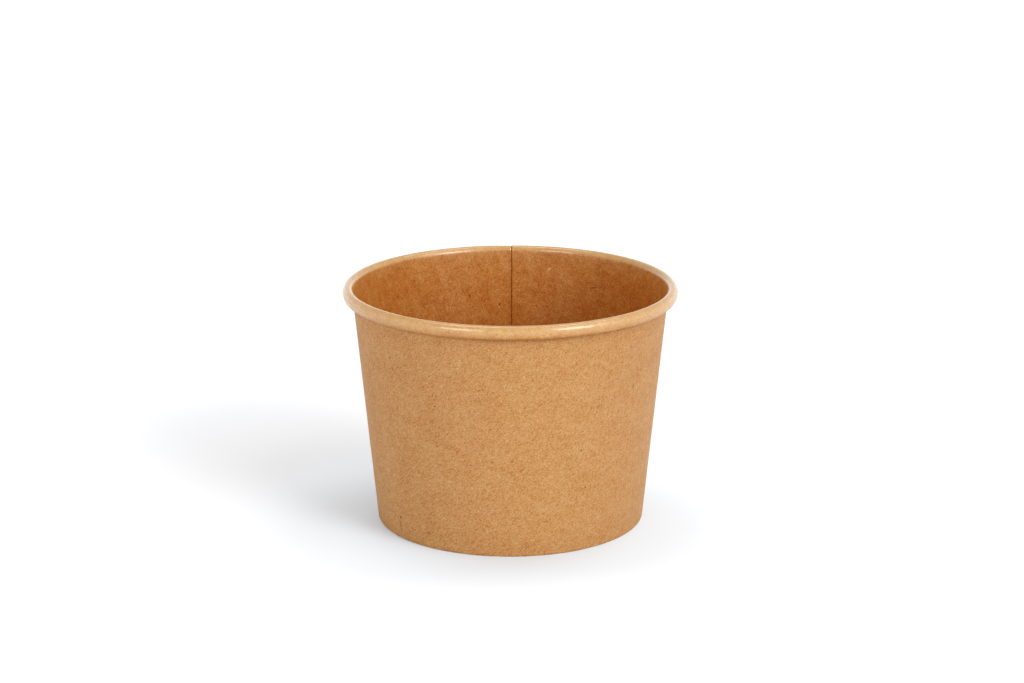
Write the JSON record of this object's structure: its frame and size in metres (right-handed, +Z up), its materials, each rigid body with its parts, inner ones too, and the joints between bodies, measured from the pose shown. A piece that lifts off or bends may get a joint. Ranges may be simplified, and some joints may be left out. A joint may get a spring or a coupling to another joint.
{
  "type": "paper soup cup",
  "caption": "Open kraft paperboard soup cup: tapered round wall with a lapped side seam, rolled rim and turned-in standing edge round a recessed base, for hot or cold food.",
  "frame": {"origin": "on the cup's axis in the plane it stands on", "axes": "+Z up along the axis to the open rim, +Y towards the glued side seam, so -Y is the plain front"},
  "size_m": [0.098, 0.098, 0.0704],
  "materials": {
    "wall_board": "kraft board, matt outside, lined satin inside and over the rim",
    "base_board": "kraft board, lined satin on its upper face"
  },
  "bodies": {
    "root": {"side_wall": "wall_board", "base_panel": "base_board"}
  },
  "joints": []
}
